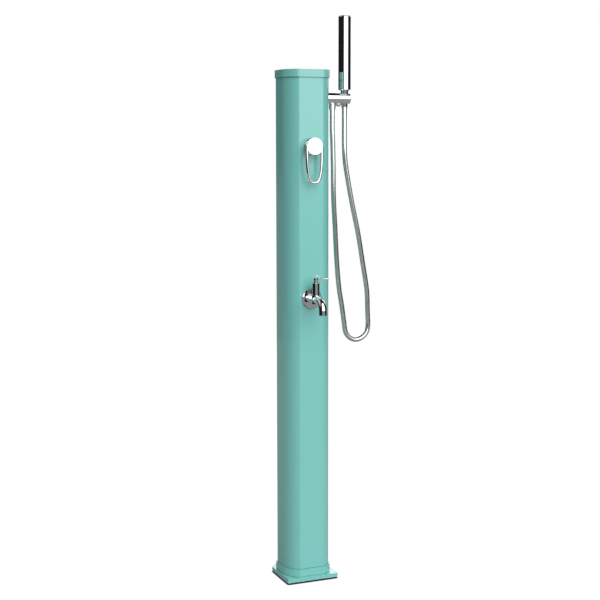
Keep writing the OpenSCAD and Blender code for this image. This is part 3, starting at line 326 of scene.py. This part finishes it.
# runs a tree on a starting mesh and keeps the result as a plain mesh
def growMesh(name, start, tree, values, material, sharp):
    seed = bpy.data.objects.new(name + "Seed", start)
    scene.collection.objects.link(seed)
    modifier = seed.modifiers.new("grow", "NODES")
    modifier.node_group = tree
    for socket in tree.interface.items_tree:
        if socket.in_out == "INPUT" and socket.name in values:
            modifier[socket.identifier] = values[socket.name]
    seed.update_tag()
    graph = bpy.context.evaluated_depsgraph_get()
    mesh = bpy.data.meshes.new_from_object(seed.evaluated_get(graph), depsgraph=graph)
    bpy.data.objects.remove(seed)
    mesh.name = name
    return showMesh(name, mesh, material, sharp)


# hose: folded metal rings along its route, the same points as in the solid. They are in millimetres, across from
# the outlet and up from the bar. The tube is cut in two at its lowest point, and the outlet's half and the
# shower's half are joined again into one object
hoseSet = {"x": 0.095, "y": 0.015, "z": 1.421, "radius": 0.0072, "sides": 22, "step": 0.000375, "every": 10,
    "depth": 0.00028, "plain": 0.0144, "sharp": 28, "curveSteps": 24, "pathEvery": 6, "middle": 0.17,
    "stillFrom": 2.0, "stillTo": 2.5, "bendAbove": 0.01, "bendTo": 1.368}
hoseRoute = [(0, -36), (0, -56), (0, -90), (2, -140), (3.5, -206.5), (4.5, -287), (9.5, -376.5), (14.5, -468),
    (22, -552), (33, -619), (40, -667), (44.5, -692), (56, -707.5), (71, -715.5), (88, -715.5), (105, -706.5),
    (115.5, -692), (118.5, -671.5), (117, -634.5), (114, -567.5), (100, -484.5), (84.5, -396.5), (66, -314),
    (51.5, -242), (41.5, -180.5), (39, -128), (39, -84), (39, -50), (39, -30)]


def smoothRoute(route, steps):
    out = []
    for i in range(len(route) - 1):
        a, b, c, d = (Vector(route[max(0, min(len(route) - 1, k))]) for k in (i - 1, i, i + 1, i + 2))
        for k in range(steps):
            u = k / steps
            out.append((2 * b + (c - a) * u + (2 * a - 5 * b + 4 * c - d) * u ** 2
                + (3 * b - a - 3 * c + d) * u ** 3) / 2)
    out.append(Vector(route[-1]))
    return out


def lengthOf(line):
    return sum((b - a).length for a, b in zip(line, line[1:]))


# the tube is drawn along the curve, and one ring in every few is pushed in as the fold between two strips
def buildHoseTree():
    tree, start, end = newTree("foldedHose", "GeometryNodeTree",
        {"Geometry": "Geometry", "Radius": "Float", "Fold Every": "Int", "Depth": "Float", "Sides": "Int",
         "Step": "Float", "Plain": "Float", "Length": "Float", "Material": "Material"},
        {"Geometry": "Geometry"})
    link = tree.links.new
    line = addNode(tree, "GeometryNodeMeshToCurve", (-800, 0))
    link(start.outputs["Geometry"], line.inputs["Mesh"])
    even = addNode(tree, "GeometryNodeResampleCurve", (-600, 0), mode="LENGTH")
    link(line.outputs[0], even.inputs["Curve"])
    link(start.outputs["Step"], even.inputs["Length"])
    along = addNode(tree, "GeometryNodeSplineParameter", (-600, -300))
    # the run along the hose is kept for the cut at its lowest point
    keepRun = addNode(tree, "GeometryNodeStoreNamedAttribute", (-400, 0), {"Name": "run"},
        data_type="FLOAT")
    link(even.outputs[0], keepRun.inputs["Geometry"])
    link(along.outputs["Length"], keepRun.inputs["Value"])
    index, every = along.outputs["Index"], start.outputs["Fold Every"]
    place = mathNode(tree, "FLOORED_MODULO", index, every, (-400, -300))
    inward = mathNode(tree, "LESS_THAN", place, 0.5, (-200, -300))  # only the first ring of every few
    fromEnd = mathNode(tree, "SUBTRACT", start.outputs["Length"], along.outputs["Length"], (-400, -500))
    nearEnd = mathNode(tree, "MINIMUM", along.outputs["Length"], fromEnd, (-200, -500))
    ribbed = mathNode(tree, "GREATER_THAN", nearEnd, start.outputs["Plain"], (0, -500))
    keepFold = addNode(tree, "GeometryNodeStoreNamedAttribute", (-100, 0), {"Name": "fold"},
        data_type="FLOAT")
    link(keepRun.outputs["Geometry"], keepFold.inputs["Geometry"])
    link(mathNode(tree, "MULTIPLY", inward, ribbed, (100, -400)), keepFold.inputs["Value"])
    ring = addNode(tree, "GeometryNodeCurvePrimitiveCircle", (-100, -700))
    link(start.outputs["Sides"], ring.inputs["Resolution"])
    link(start.outputs["Radius"], ring.inputs["Radius"])
    tube = addNode(tree, "GeometryNodeCurveToMesh", (250, 0), {"Fill Caps": True})
    link(keepFold.outputs["Geometry"], tube.inputs["Curve"])
    link(ring.outputs["Curve"], tube.inputs["Profile Curve"])
    fold = addNode(tree, "GeometryNodeInputNamedAttribute", (250, -300), {"Name": "fold"}, data_type="FLOAT")
    deep = mathNode(tree, "MULTIPLY", fold.outputs["Attribute"], start.outputs["Depth"], (450, -300))
    inwards = mathNode(tree, "MULTIPLY", deep, -1.0, (600, -300))
    facing = addNode(tree, "GeometryNodeInputNormal", (450, -500))
    push = addNode(tree, "ShaderNodeVectorMath", (750, -400), operation="SCALE")
    link(facing.outputs[0], push.inputs[0])
    link(inwards, push.inputs["Scale"])
    moved = addNode(tree, "GeometryNodeSetPosition", (900, 0))
    link(tube.outputs[0], moved.inputs["Geometry"])
    link(push.outputs[0], moved.inputs["Offset"])
    real = addNode(tree, "GeometryNodeRealizeInstances", (1000, 100))
    link(moved.outputs[0], real.inputs[0])
    dress = addNode(tree, "GeometryNodeSetMaterial", (1100, 100))
    link(real.outputs[0], dress.inputs["Geometry"])
    link(start.outputs["Material"], dress.inputs["Material"])
    link(dress.outputs[0], end.inputs[0])
    return tree


# cuts the tube in two where its run passes the limit
def splitAt(piece, limit):
    run = piece.data.attributes["run"].data
    far = {v.index for v in piece.data.vertices if run[v.index].value > limit}
    other = piece.copy()
    other.data = piece.data.copy()
    scene.collection.objects.link(other)
    for half, drop in ((piece, True), (other, False)):
        bm = bmesh.new()
        bm.from_mesh(half.data)
        bm.verts.ensure_lookup_table()
        faces = [f for f in bm.faces if any(v.index in far for v in f.verts) == drop]
        bmesh.ops.delete(bm, geom=faces, context="FACES")
        bm.to_mesh(half.data)
        bm.free()
    return piece, other


def makeHose():
    h = hoseSet
    line = [Vector((h["x"] + p.x / 1000, h["y"], h["z"] + p.y / 1000))
        for p in smoothRoute(hoseRoute, h["curveSteps"])]
    length = lengthOf(line)
    lineMesh = bpy.data.meshes.new("hoseLine")
    lineMesh.from_pydata([tuple(p) for p in line], [(i, i + 1) for i in range(len(line) - 1)], [])
    values = {"Radius": h["radius"], "Fold Every": h["every"], "Depth": h["depth"], "Sides": h["sides"],
        "Step": h["step"], "Plain": h["plain"], "Length": length, "Material": materials["hose"]}
    tube = growMesh("metalHose", lineMesh, buildHoseTree(), values, materials["hose"], h["sharp"])
    lowest = min(range(len(line)), key=lambda k: line[k].z)
    outletHalf, showerHalf = splitAt(tube, lengthOf(line[:lowest + 1]))
    spans = ((outletHalf, h["stillFrom"], h["stillTo"]),
        (showerHalf, line[lowest].z + h["bendAbove"], h["bendTo"]))
    for half, low, high in spans:
        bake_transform(half)
    halves = [outletHalf, showerHalf]
    with bpy.context.temp_override(active_object=outletHalf, selected_editable_objects=halves):
        bpy.ops.object.join()
    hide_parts("hose")
    print("hose made:", round(length, 3), "m")


makeHose()

# what the chrome pieces share: how near doubles lie, their sharp angle, and where long walls get their rings
meshSet = {"merge": 1e-6, "sharp": 35, "longWall": 0.0008, "hold": 0.0001}


def finishPiece(name, bm, body, node):
    bmesh.ops.remove_doubles(bm, verts=bm.verts, dist=meshSet["merge"])
    bmesh.ops.recalc_face_normals(bm, faces=bm.faces)
    mesh = bpy.data.meshes.new(name)
    bm.to_mesh(mesh)
    bm.free()
    piece = showMesh(name, mesh, materials["chrome"], meshSet["sharp"])
    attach(piece, body)
    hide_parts(node)


# a ring close to each end of a long wall keeps it flat beside its rounded edges
def holdWalls(profile, closed):
    held = []
    for a, b in zip(profile, profile[1:] + (profile[:1] if closed else [])):
        held.append(a)
        far = math.dist(a, b)
        if far > meshSet["longWall"]:
            near = meshSet["hold"] / far
            held += [(a[0] + (b[0] - a[0]) * u, a[1] + (b[1] - a[1]) * u) for u in (near, 1 - near)]
    return held if closed else held + [profile[-1]]


# round piece turned about its own axis from a profile of (radius, height)
def turned(name, profile, place, toward, sides, body, node, closed=False):
    bm = bmesh.new()
    turn = Vector((0, 0, 1)).rotation_difference(Vector(toward)).to_matrix()
    rings = []
    for radius, height in holdWalls(profile, closed):
        if radius == 0:
            rings.append([bm.verts.new(turn @ Vector((0, 0, height)) + Vector(place))])
        else:
            rings.append([bm.verts.new(turn @ Vector((radius * math.cos(2 * math.pi * k / sides),
                radius * math.sin(2 * math.pi * k / sides), height)) + Vector(place)) for k in range(sides)])
    for low, high in zip(rings, rings[1:] + (rings[:1] if closed else [])):
        for k in range(sides):
            n = (k + 1) % sides
            corners = [low[k % len(low)], low[n % len(low)], high[n % len(high)], high[k % len(high)]]
            bm.faces.new([v for i, v in enumerate(corners) if v not in corners[:i]])
    finishPiece(name, bm, body, node)


# round between two walls of a profile, its angles in degrees
def fillet(centre, radius, start, stop, steps):
    angles = [math.radians(start + (stop - start) * i / steps) for i in range(steps + 1)]
    return [(centre[0] + radius * math.cos(a), centre[1] + radius * math.sin(a)) for a in angles]


# rod bent along a line in an upright plane that faces the front, with round ends
def bentRod(name, line, radius, sides, body, node):
    bm = bmesh.new()
    across = Vector((0, 1, 0))
    last = len(line) - 1
    caps = [(math.sin(math.radians(a)), math.cos(math.radians(a))) for a in (80, 60, 40, 20)]
    back, ahead = (line[0] - line[1]).normalized(), (line[-1] - line[-2]).normalized()
    stations = [(line[0] + back * radius * out, radius * wide, -back) for out, wide in caps]
    stations += [(p, radius, (line[min(i + 1, last)] - line[max(i - 1, 0)]).normalized())
        for i, p in enumerate(line)]
    stations += [(line[-1] + ahead * radius * out, radius * wide, ahead) for out, wide in reversed(caps)]
    rings = []
    for p, wide, along in stations:
        side = across.cross(along).normalized()
        rings.append([bm.verts.new(p + wide * (math.cos(2 * math.pi * k / sides) * side
            + math.sin(2 * math.pi * k / sides) * across)) for k in range(sides)])
    for low, high in zip(rings, rings[1:]):
        for k in range(sides):
            n = (k + 1) % sides
            bm.faces.new([low[k], low[n], high[n], high[k]])
    bm.faces.new(rings[0])
    bm.faces.new(list(reversed(rings[-1])))
    finishPiece(name, bm, body, node)


# lever of the mixer: a rod bent to a long loop with nearly straight legs, hung from the mixer's axis
loopSet = {"halfWidth": 0.0230, "drop": 0.1029, "rod": 0.0044, "y": -0.0765, "power": 2 / 3, "steps": 120,
    "sides": 32}


def makeLoop():
    line = []
    for i in range(loopSet["steps"] + 1):
        a = math.pi * i / loopSet["steps"]
        across = math.copysign(abs(math.cos(a)) ** loopSet["power"], math.cos(a))
        z = mixerAxis.z - loopSet["drop"] * abs(math.sin(a)) ** loopSet["power"]
        line.append(Vector((-loopSet["halfWidth"] * across, loopSet["y"], z)))
    bentRod("leverLoop", line, loopSet["rod"], loopSet["sides"], "mixer_lever", "lever_loop")


makeLoop()

# round cap of the mixer: a flat disc with a rolled rim and one more ring on its face, a hair above the axis
capSet = {"radius": 0.0246, "thick": 0.002, "y": -0.080, "above": 0.0002, "ringShare": 0.6, "rimSteps": 10,
    "sides": 128}


def makeCap():
    r, t = capSet["radius"], capSet["thick"]
    rim = t / 2
    profile = [(0, 0), (r - rim, 0)] + fillet((r - rim, rim), rim, -90, 90, capSet["rimSteps"])
    profile += [(r * capSet["ringShare"], t), (0, t)]
    place = (0, capSet["y"], mixerAxis.z + capSet["above"])
    turned("mixerCap", profile, place, (0, -1, 0), capSet["sides"], "mixer_lever", "mixer_cap")


makeCap()

# rosette of the tap, a disc on the front of the post
rosetteSet = {"radius": 0.030, "bore": 0.0098, "thick": 0.0035, "edge": 0.0005, "front": -0.054,
    "edgeSteps": 8, "sides": 128}


def makeRosette():
    s = rosetteSet
    r, t, e = s["radius"], s["thick"], s["edge"]
    profile = [(s["bore"], 0), (r, 0)] + fillet((r - e, t - e), e, 0, 90, s["edgeSteps"]) + [(s["bore"], t)]
    place = (0, s["front"], tapAxis.z)
    turned("tapRosette", profile, place, (0, -1, 0), s["sides"], "post", "tap_rosette", closed=True)


makeRosette()

# bonnet of the tap, heights measured up from the tap's own height
bonnetSet = {"cage": 0.0084, "cageBore": 0.0068, "bore": 0.00405, "seat": 0.002, "from": 0.0121, "top": 0.048,
    "radius": 0.011, "neck": 0.0065, "neckTop": 0.054, "edge": 0.0006, "edgeSteps": 4, "hollowSteps": 3,
    "sides": 96}


def makeBonnet():
    b = bonnetSet
    e, steps = b["edge"], b["edgeSteps"]
    profile = [(b["cageBore"], b["seat"]), (b["cage"], b["seat"]), (b["cage"], b["from"])]
    profile += fillet((b["radius"] - e, b["from"] + e), e, -90, 0, steps)
    profile += fillet((b["radius"] - e, b["top"] - e), e, 0, 90, steps)
    profile += fillet((b["neck"] + e, b["top"] + e), e, 270, 180, b["hollowSteps"])
    profile += fillet((b["neck"] - e, b["neckTop"] - e), e, 0, 90, steps)
    profile += [(b["bore"], b["neckTop"]), (b["bore"], b["from"]), (b["cageBore"], b["from"])]
    turned("tapBonnet", profile, tapAxis, (0, 0, 1), b["sides"], "post", "tap_bonnet", closed=True)


makeBonnet()

# lever of the tap: a hub, and a thin rod that springs from it, dips and ends in a thicker grip
tapLeverSet = {"hubFrom": 0.0545, "hubHigh": 0.008, "hub": 0.0065, "hubEdge": 0.0009, "bore": 0.00405,
    "boreHigh": 0.005, "rod": 0.0018, "sunk": 0.002, "short": 0.0002, "rise": 0.0055, "bend": 0.004,
    "drop": 0.0095, "bendTo": 0.024, "gripFrom": 0.030, "intoGrip": 0.001, "end": 0.041, "grip": 0.003,
    "gripBack": 0.0012, "gripTip": 0.0014, "bendSteps": 16, "dipSteps": 24, "hubSteps": 5, "gripSteps": 6,
    "hubSides": 72, "rodSides": 24, "gripSides": 48}


def makeTapLever():
    t = tapLeverSet
    top = t["hubFrom"] + t["hubHigh"]
    boreTop = t["hubFrom"] + t["boreHigh"]
    high, low = top + t["rise"], top + t["rise"] - t["drop"]
    e = t["hubEdge"]
    hub = [(0, boreTop), (t["bore"], boreTop), (t["bore"], t["hubFrom"]), (t["hub"] - e, t["hubFrom"])]
    hub += fillet((t["hub"] - e, t["hubFrom"] + e), e, -90, 0, t["hubSteps"])
    hub += fillet((t["hub"] - e, top - e), e, 0, 90, t["hubSteps"]) + [(0, top)]
    turned("tapLeverHub", hub, tapAxis, (0, 0, 1), t["hubSides"], "tap_handle", "tap_lever")
    line = [Vector((0, 0, top - t["sunk"])), Vector((0, 0, top - t["short"]))]
    for i in range(t["bendSteps"] + 1):
        a = math.pi / 2 * i / t["bendSteps"]
        line.append(Vector((t["bend"] * (1 - math.cos(a)), 0, high - t["bend"] * (1 - math.sin(a)))))
    for i in range(1, t["dipSteps"] + 1):
        u = i / t["dipSteps"]
        z = high - t["drop"] * (1 - math.cos(math.pi * u)) / 2
        line.append(Vector((t["bend"] + (t["bendTo"] - t["bend"]) * u, 0, z)))
    line.append(Vector((t["gripFrom"] + t["intoGrip"], 0, low)))
    line = [p + tapAxis for p in line]
    bentRod("tapLeverRod", line, t["rod"], t["rodSides"], "tap_handle", "tap_lever")
    length = t["end"] - t["gripFrom"]
    back, tip = t["gripBack"], t["gripTip"]
    grip = [(0, 0)] + fillet((t["rod"], back), back, -90, 0, t["gripSteps"])
    grip += fillet((t["grip"] - tip, length - tip), tip, 0, 90, t["gripSteps"]) + [(0, length)]
    place = tapAxis + Vector((t["gripFrom"], 0, low))
    turned("tapLeverGrip", grip, place, (1, 0, 0), t["gripSides"], "tap_handle", "tap_lever")


makeTapLever()
print("chrome pieces made")

# floor: it glows white for the camera, a little less where the object shades it, and a painted contact shadow dims
# it where the object stands close
floorSet = {"name": "floorPaint", "color": (0.29, 0.29, 0.29), "rough": (0.9, 0.9), "size": 9.0,
    "below": 0.0005, "shadow": 0.14, "glow": 1.16, "contact": 0.007, "closed": 0.5, "open": 0.9}


def makeFloor():
    half, z = floorSet["size"] / 2, -floorSet["below"]
    mesh = bpy.data.meshes.new("floor")
    corners = [(-half, -half, z), (half, -half, z), (half, half, z), (-half, half, z)]
    mesh.from_pydata(corners, [], [(0, 1, 2, 3)])
    floor = bpy.data.objects.new("floor", mesh)
    scene.collection.objects.link(floor)
    material, tree, shader = startMaterial(floorSet, 0.0)
    mesh.materials.append(material)
    # painted contact shadow: ambient occlusion dims the glow close to the object
    contact = addNode(tree, "ShaderNodeAmbientOcclusion", (-900, 0), {"Distance": floorSet["contact"]},
        samples=12)
    near = addNode(tree, "ShaderNodeMapRange", (-600, 0),
        {"From Min": floorSet["closed"], "From Max": floorSet["open"], "To Max": floorSet["glow"]})
    tree.links.new(contact.outputs["AO"], near.inputs["Value"])
    bright = addNode(tree, "ShaderNodeEmission", (-200, 300))
    tree.links.new(near.outputs[0], bright.inputs["Strength"])
    seen = addNode(tree, "ShaderNodeLightPath", (-600, 300))
    share = mathNode(tree, "MULTIPLY", seen.outputs["Is Camera Ray"], 1 - floorSet["shadow"], (-300, 500))
    both = addNode(tree, "ShaderNodeMixShader", (300, 200))
    tree.links.new(share, both.inputs[0])
    tree.links.new(shader.outputs[0], both.inputs[1])
    tree.links.new(bright.outputs[0], both.inputs[2])
    tree.links.new(both.outputs[0], tree.nodes["Material Output"].inputs["Surface"])


makeFloor()

# world: white for the camera, and round the object a dim studio with soft edged windows of light. Directions
# are in degrees, round from the front towards the right, and up from the horizon
studioSet = {"low": 0.16, "high": 0.50, "rampFrom": -0.2, "dark": 0.012, "soft": 3.0, "share": 0.52}
studioWindows = [
    {"left": -33.0, "right": 42.0, "low": -1.3, "high": 60.0, "light": 2.05},  # wide window in front
    {"left": -33.0, "right": 42.0, "low": -10.0, "high": -1.3, "light": 0.25},  # far ground below it
    {"left": -33.0, "right": 42.0, "low": -34.0, "high": -10.0, "light": 0.40},  # nearer ground
    {"left": 172.0, "right": 222.0, "low": -42.0, "high": -1.3, "light": 0.17},  # ground behind
    {"left": 150.0, "right": 165.0, "low": 13.0, "high": 25.0, "light": 2.4},  # small window behind, high up
    {"left": 100.0, "right": 125.0, "low": 14.0, "high": 60.0, "light": 1.2},  # narrow window on the right
    {"left": -150.0, "right": -80.0, "low": 18.0, "high": 60.0, "light": 0.5}]  # dim window on the left


def makeStudio():
    world = bpy.data.worlds.new("studio")
    scene.world = world
    world.use_nodes = True
    tree = world.node_tree
    tree.nodes.clear()
    where = addNode(tree, "ShaderNodeTexCoord", (-1600, 0))
    axes = addNode(tree, "ShaderNodeSeparateXYZ", (-1400, 0))
    tree.links.new(where.outputs["Generated"], axes.inputs[0])
    right = axes.outputs["X"]
    front = mathNode(tree, "MULTIPLY", axes.outputs["Y"], -1.0, (-1250, -100))
    up = mathNode(tree, "ARCSINE", axes.outputs["Z"], at=(-900, -250))

    # angle from the middle of a window, so that the seam of the turn lies opposite to it
    def around(middle, at):
        c, s = math.cos(math.radians(middle)), math.sin(math.radians(middle))
        ahead = mathNode(tree, "ADD", mathNode(tree, "MULTIPLY", right, s, at),
            mathNode(tree, "MULTIPLY", front, c, at), at)
        beside = mathNode(tree, "SUBTRACT", mathNode(tree, "MULTIPLY", right, c, at),
            mathNode(tree, "MULTIPLY", front, s, at), at)
        return mathNode(tree, "ARCTAN2", beside, ahead, at)

    # 1 between two angles and 0 outside, with soft edges
    def band(angle, low, high, at):
        rise = addNode(tree, "ShaderNodeMapRange", at, interpolation_type="SMOOTHSTEP")
        fall = addNode(tree, "ShaderNodeMapRange", (at[0], at[1] - 250), interpolation_type="SMOOTHSTEP")
        for node, edge, first in ((rise, low, 0.0), (fall, high, 1.0)):
            tree.links.new(angle, node.inputs["Value"])
            node.inputs["From Min"].default_value = math.radians(edge - studioSet["soft"] / 2)
            node.inputs["From Max"].default_value = math.radians(edge + studioSet["soft"] / 2)
            node.inputs["To Min"].default_value = first
            node.inputs["To Max"].default_value = 1.0 - first
        return mathNode(tree, "MULTIPLY", rise.outputs[0], fall.outputs[0], (at[0] + 200, at[1]))

    # even light from low to high, nearly dark in reflections, where the windows show instead
    path = addNode(tree, "ShaderNodeLightPath", (-650, 900))
    sky = addNode(tree, "ShaderNodeMapRange", (-400, 800),
        {"From Min": studioSet["rampFrom"], "To Min": studioSet["low"], "To Max": studioSet["high"]})
    tree.links.new(axes.outputs["Z"], sky.inputs["Value"])
    base = addNode(tree, "ShaderNodeMapRange", (-200, 800), {"To Max": studioSet["dark"]})
    tree.links.new(path.outputs["Is Glossy Ray"], base.inputs["Value"])
    tree.links.new(sky.outputs[0], base.inputs["To Min"])
    # outside reflections the windows give only a share of their light
    share = addNode(tree, "ShaderNodeMapRange", (-200, 1100), {"To Min": studioSet["share"]})
    tree.links.new(path.outputs["Is Glossy Ray"], share.inputs["Value"])
    level = base.outputs[0]
    for i, w in enumerate(studioWindows):
        middle, half, y = (w["left"] + w["right"]) / 2, (w["right"] - w["left"]) / 2, -600 * i
        side = band(around(middle, (-1050, y)), -half, half, (-650, y))
        lit = mathNode(tree, "MULTIPLY", side, band(up, w["low"], w["high"], (-400, y)), (0, y))
        lit = mathNode(tree, "MULTIPLY", lit, share.outputs[0], (100, y))
        lit = mathNode(tree, "MULTIPLY", lit, w["light"], (150, y))
        level = mathNode(tree, "ADD", lit, level, (300, y / 2))
    shown = addNode(tree, "ShaderNodeMix", (550, 200), data_type="FLOAT")
    tree.links.new(path.outputs["Is Camera Ray"], shown.inputs[0])
    tree.links.new(level, shown.inputs[2])
    shown.inputs[3].default_value = 1.0
    background = addNode(tree, "ShaderNodeBackground", (750, 100), {"Color": (1, 1, 1, 1)})
    tree.links.new(shown.outputs[0], background.inputs["Strength"])
    out = addNode(tree, "ShaderNodeOutputWorld", (950, 100))
    tree.links.new(background.outputs[0], out.inputs["Surface"])


makeStudio()

# lamps: a wide key from the front and a weak one from behind on the left, neither seen in reflections
lampSet = [{"name": "keyLamp", "turn": 17.0, "up": 37.0, "soft": 60.0, "strength": 1.66},
    {"name": "sideLamp", "turn": -125.0, "up": 8.0, "soft": 50.0, "strength": 0.30}]


def makeLamp(plan):
    light = bpy.data.lights.new(plan["name"], "SUN")
    light.energy = plan["strength"]
    light.angle = math.radians(plan["soft"])
    lamp = bpy.data.objects.new(plan["name"], light)
    scene.collection.objects.link(lamp)
    lamp.rotation_euler = (math.radians(90 - plan["up"]), 0, math.radians(plan["turn"]))
    lamp.visible_glossy = False


for plan in lampSet:
    makeLamp(plan)
print("studio ready")
